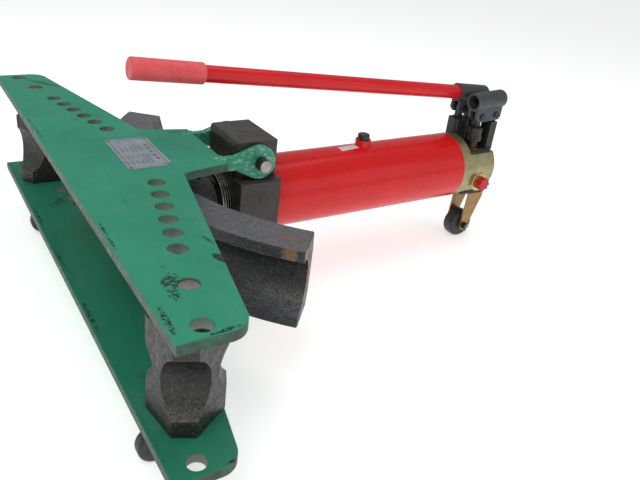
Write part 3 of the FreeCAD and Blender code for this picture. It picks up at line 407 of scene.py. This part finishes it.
# A finish for each sort of surface, and the one that each CAD node wears.
finishes = {
    "greenTop": greenEnamel("enamelOnPlateGreen", "#238a6b", "#2c9475", "#39443f", plateMarks),
    "greenLug": greenEnamel("enamelOnLugsGreen", "#2b8f70", "#39997c", scraped=0.75),
    # The lower plate wears the same paint as the upper one, darkened: painted shade for the shadow it lies
    # in.
    "greenLow": greenEnamel("enamelOnPlateGreenInPaintedShade", "#257b60", "#2b866a", "#343d38", lowMarks),
    "greenBracket": greenEnamel("enamelOnBracketGreen", "#236f57", "#2a7a61"),
    "red": redEnamel("enamelRedTank", "#cf0f12", "#da181b"),
    "redHandle": redEnamel("enamelRedHandle", "#d01318", "#da1c22", rough=0.26),
    # The roller and the former below get painted light on the faces that look up and painted shade under
    # them.
    "roller": castIron(
        "castIronBlackRough", "#1d1c1c", "#2b2a29", "#8a8781",
        depth=0.7, topColour="#3a3836", slopeLightAndShade=1.0),
    "former": castIron(
        "castIronBlackFormer", "#232324", "#323133", "#94918d",
        pit=4.5, depth=0.9, topColour="#50545d", chips=formerChips, slopeLightAndShade=1.0),
    "block": castIron(
        "steelBlockBlackPaint", "#2b2927", "#353230", "#5f5a53",
        pit=7.0, depth=0.25, topColour="#45423f"),
    "zincHead": zincYellow("zincYellowHead", "#aba784", "#98916a", "#b29a62"),
    "zincCollar": zincYellow("zincYellowCollar", "#cfc38a", "#bba96a", "#d0b070"),
    "zincFork": zincYellow("zincYellowFork", "#a1855c", "#8f7248", "#ab784d"),
    "pump": castIron("castSteelPumpBlack", "#44494d", "#3b4044", "#6d7072", pit=2.2, depth=0.12),
    "pumpDark": castIron("castSteelPumpDark", "#232425", "#2d2e2f", "#57534d", pit=2.2, depth=0.12),
    "pumpSteel": bareSteel("steelOilyPump", "#4a453f", "#37332f", rough=0.35, metal=0.8),
    "pin": pinSteel("steelTurnedPin"),
    "trunnion": bareSteel("steelTurnedTrunnion", "#a7a59c", "#8b8981"),
    "honed": bareSteel("steelHoned", "#9a9a98", "#858583", rough=0.22),
    "thread": threadedSteel("steelThreadedCollar"),
    "chrome": bareSteel("steelGroundRam", "#b9bab9", "#a5a6a6", rough=0.14),
    "spring": bareSteel("steelSpring", "#5c5a57", "#454340"),
    "oxide": bareSteel("steelBlackOxide", "#2a2a2b", "#363637", rough=0.4, metal=0.7),
    "zincBolt": bareSteel("steelZincPlated", "#b4b4ae", "#96958e", rough=0.28),
    "copper": bareSteel("copperWasher", "#b8683f", "#94512f"),
    "wheel": dullFinish("rubberWheelBlack", "#1c1d1f", "#26272a", "#5a5a5c", rough=0.5),
    "seal": dullFinish("rubberSeal", "#161616", "#1f1f1f", "#3a3a3a", rough=0.45, dustAmount=0.1),
    "grip": dullFinish("rubberGripRed", "#e2464d", "#ea565c", "#f09c9a", rough=0.55, grainSize=1.5),
    "knob": redEnamel("plasticRedKnob", "#b3101c", "#c81726", rough=0.2),
    "cap": dullFinish("plasticBlackCap", "#2a1a1c", "#1e1a1b", "#5a4a4a", rough=0.4, dustAmount=0.15),
    "foil": foilPlate("foilDataPlate"),
    "ink": dullFinish("inkOnFoil", "#565a63", "#6b7079", "#8c9098", rough=0.6, dustAmount=0.2),
    "label": dullFinish("paperLabel", "#e3d9d6", "#d7cbc9", "#c8a8a4", rough=0.6),
}
finishOf = {
    "upper_wing_plate": "greenTop", "hinge_lugs": "greenLug", "lower_wing_plate": "greenLow",
    "front_brackets": "greenBracket", "data_plate": "foil", "data_plate_rivets": "zincBolt",
    "front_block": "block", "block_bolts": "oxide", "bracket_bolts": "oxide", "hinge_pin": "pin",
    "working_cylinder": "honed", "cylinder_collar": "thread", "rod_gland": "honed", "rod_seals": "seal",
    "ram_rod": "chrome", "former_pin": "chrome", "ram_piston": "honed", "piston_seal": "seal",
    "return_spring": "spring",
    "tank_tube": "red", "filler_boss": "red", "handle_tube": "redHandle", "handle_grip": "grip",
    "bending_former": "former", "roller_near": "roller", "roller_far": "roller",
    "roller_trunnions_near": "trunnion", "roller_trunnions_far": "trunnion", "pump_head": "zincHead",
    "head_seal": "seal", "check_valve_balls": "zincBolt", "pump_barrel_near": "pumpSteel",
    "pump_barrel_far": "pumpDark", "pump_washers": "copper", "fulcrum_posts": "pumpDark",
    "pump_plunger_near": "pumpSteel", "pump_plunger_far": "pumpDark", "lever_near": "pump",
    "lever_far": "pump", "lever_pins_near": "pumpSteel", "lever_pins_far": "pumpSteel",
    "release_collar": "zincCollar", "release_spindle": "zincBolt", "release_knob": "knob",
    "filler_cap": "cap", "filler_seal": "seal", "front_axles": "zincBolt", "caster_mount": "pumpSteel",
    "caster_bolts": "zincBolt", "caster_kingpin": "zincBolt", "caster_bearing": "pumpSteel",
    "caster_fork": "zincFork", "caster_axle": "zincBolt", "caster_nuts": "oxide",
    "caster_split_pin": "zincBolt", "caster_wheel": "wheel", "caster_wheel_bush": "zincBolt",
    "front_wheel_near": "wheel", "front_wheel_far": "wheel",
}
for node, finish in finishOf.items():
    nodes[node].data.materials.clear()
    nodes[node].data.materials.append(finishes[finish])
print("finishes on", len(finishOf), "nodes")


# Turns a bmesh into a piece with its finish, on the body that it rides on.
def makePiece(name, mesh, body, finish):
    bmesh.ops.recalc_face_normals(mesh, faces=mesh.faces)
    data = bpy.data.meshes.new(name)
    mesh.to_mesh(data)
    mesh.free()
    piece = bpy.data.objects.new(name, data)
    bpy.context.collection.objects.link(piece)
    data.materials.append(finishes[finish])
    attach(piece, body)
    return piece


def span(node):
    points = [vertex.co for vertex in nodes[node].data.vertices]
    return [Vector(pick(point[i] for point in points) for i in range(3)) for pick in (min, max)]


def addBar(mesh, low, high):
    low, high = Vector(low), Vector(high)
    size = Matrix.Diagonal((*(high - low), 1))
    bmesh.ops.create_cube(mesh, size=1, matrix=Matrix.Translation((low + high) / 2) @ size)


# Printed border, ruled rows and a blank title on the data plate, in millimetres.
inkSet = {
    "lift": 0.02, "top": 0.08, "inset": 4.6, "line": 1.5,
    "rows": 5, "firstRow": 7, "rowPitch": 7.5, "rule": 0.5, "ruleInset": 6,
    "words": ((10, 18), (34, 12), (66, 22)), "wordSides": (2.4, 4.0), "stagger": 2.5,
    "blocks": 5, "firstBlock": 22, "blockPitch": 15, "blockLength": 8, "blockSides": (11, 6),
}


def plateInk(spec):
    low, high = span("data_plate")
    mesh = bmesh.new()
    base, top = high.z + spec["lift"] * mm, high.z + spec["top"] * mm
    inset, line, ruleInset = (spec[name] * mm for name in ("inset", "line", "ruleInset"))
    x0, x1, y0, y1 = low.x + inset, high.x - inset, low.y + inset, high.y - inset
    for x in (x0, x1 - line):
        addBar(mesh, (x, y0, base), (x + line, y1, top))
    for y in (y0, y1 - line):
        addBar(mesh, (x0, y, base), (x1, y + line, top))
    wordLow, wordHigh = (side * mm for side in spec["wordSides"])
    for row in range(spec["rows"]):
        x = x0 + (spec["firstRow"] + spec["rowPitch"] * row) * mm
        addBar(mesh, (x, y0 + ruleInset, base), (x + spec["rule"] * mm, y1 - ruleInset, top))
        for start, length in spec["words"]:
            begin = y0 + (start + spec["stagger"] * (row % 2)) * mm
            addBar(mesh, (x + wordLow, begin, base), (x + wordHigh, begin + length * mm, top))
    blockLow, blockHigh = (side * mm for side in spec["blockSides"])
    for i in range(spec["blocks"]):
        y = y0 + (spec["firstBlock"] + spec["blockPitch"] * i) * mm
        addBar(mesh, (x1 - blockLow, y, base), (x1 - blockHigh, y + spec["blockLength"] * mm, top))
    makePiece("plateInk", mesh, "upper_wing", "ink")


# Scuffed blank paper label on the tank, in front of the filler, in millimetres. It lies round the
# tube a little askew, with a torn outline.
labelSet = {
    "middle": 79.5, "across": -3, "long": 42, "wide": 17, "slant": 5,
    "lift": 0.1, "thick": 0.12, "torn": 0.09, "tornWaves": (4, 9), "cells": (12, 10),
}


def tankLabel(spec):
    radius = (span("tank_tube")[1].z - ramHeight) + spec["lift"] * mm
    wavesAlong, wavesRound = spec["tornWaves"]
    cellsAlong, cellsRound = spec["cells"]
    mesh = bmesh.new()
    bmesh.ops.create_grid(mesh, x_segments=cellsAlong, y_segments=cellsRound, size=0.5)
    for vertex in mesh.verts:
        u, v = vertex.co.x, vertex.co.y
        angle = (spec["across"] + spec["wide"] * v + spec["slant"] * u) * mm / radius
        ragged = 1 + spec["torn"] * noise.noise(Vector((wavesRound * v, wavesAlong * u, 0)))
        x = (spec["middle"] + spec["long"] * u * ragged) * mm
        vertex.co = (x, radius * math.sin(angle), ramHeight + radius * math.cos(angle))
    bmesh.ops.solidify(mesh, geom=mesh.faces[:], thickness=spec["thick"] * mm)
    makePiece("tankLabel", mesh, "frame", "label")


# Weld beads where the lugs are let into the upper plate, in millimetres: along each lug's sides,
# down the plate's back edge and across the lug's front, as a row of overlapping lumps.
weldSet = {
    "inner": 54.5, "outer": 68.5, "down": 13, "sideRadius": 1.7, "downRadius": 2.6, "acrossRadius": 1.6,
    "pitch": 1.5, "sink": 0.7, "shake": 0.35, "swell": 0.25,
    "shakeWaves": 400, "swellWaves": 300,  # per metre
}


def weldBeads(spec):
    mesh = bmesh.new()
    plateTop = span("upper_wing_plate")[1].z
    back = span("upper_wing_plate")[1].x
    front = span("hinge_lugs")[0].x
    lines = []
    for side in (-1, 1):
        inner, outer = side * spec["inner"] * mm, side * spec["outer"] * mm
        for y in (inner, outer):
            corner = Vector((back, y, plateTop))
            lines.append((Vector((front, y, plateTop)), corner, spec["sideRadius"]))
            lines.append((corner, Vector((back, y, plateTop - spec["down"] * mm)), spec["downRadius"]))
        ends = (Vector((front, inner, plateTop)), Vector((front, outer, plateTop)))
        lines.append((*ends, spec["acrossRadius"]))
    for start, end, radius in lines:
        count = int((end - start).length / (spec["pitch"] * mm))
        for i in range(count + 1):
            step = start * spec["shakeWaves"] + Vector((i, 2 * i, 0))
            shake = noise.noise_vector(step) * spec["shake"] * mm
            place = start.lerp(end, i / count) + shake - Vector((0, 0, spec["sink"] * mm))
            lump = (radius + spec["swell"] * noise.noise(place * spec["swellWaves"])) * mm
            bmesh.ops.create_icosphere(
                mesh, subdivisions=2, radius=lump, matrix=Matrix.Translation(place))
    makePiece("weldBeads", mesh, "upper_wing", "greenLug")


plateInk(inkSet)
tankLabel(labelSet)
weldBeads(weldSet)
print("plate ink, tank label and weld beads made")


# Matt white paper: bright and even, so that only a soft shadow shows where the machine stands. A
# little light of its own keeps it pale to its far edge.
floorSet = {"half": 30, "colour": "#f6f6f5", "rough": 0.9, "glow": "#ffffff", "glowStrength": 0.5}
skySet = {"colour": "#f7f8fa", "strength": 0.4}


def makeFloor(spec):
    data = bpy.data.meshes.new("floor")
    mesh = bmesh.new()
    bmesh.ops.create_grid(mesh, x_segments=1, y_segments=1, size=spec["half"])
    mesh.to_mesh(data)
    mesh.free()
    floor = bpy.data.objects.new("floor", data)
    bpy.context.collection.objects.link(floor)
    material, tree, surface = newMaterial("paperFloor")
    setSockets(tree, surface, {
        "Base Color": linear(spec["colour"]), "Roughness": spec["rough"],
        "Emission Color": linear(spec["glow"]), "Emission Strength": spec["glowStrength"]})
    data.materials.append(material)


def makeSky(spec):
    world = bpy.data.worlds.new("sky")
    world.use_nodes = True
    back = world.node_tree.nodes["Background"]
    back.inputs[0].default_value = linear(spec["colour"])
    back.inputs[1].default_value = spec["strength"]
    bpy.context.scene.world = world


makeCamera(cameraSet)
makeLights(lightSet)
makeFloor(floorSet)
makeSky(skySet)
bpy.context.scene.view_settings.view_transform = "Standard"
print("camera, lights, floor and sky made")
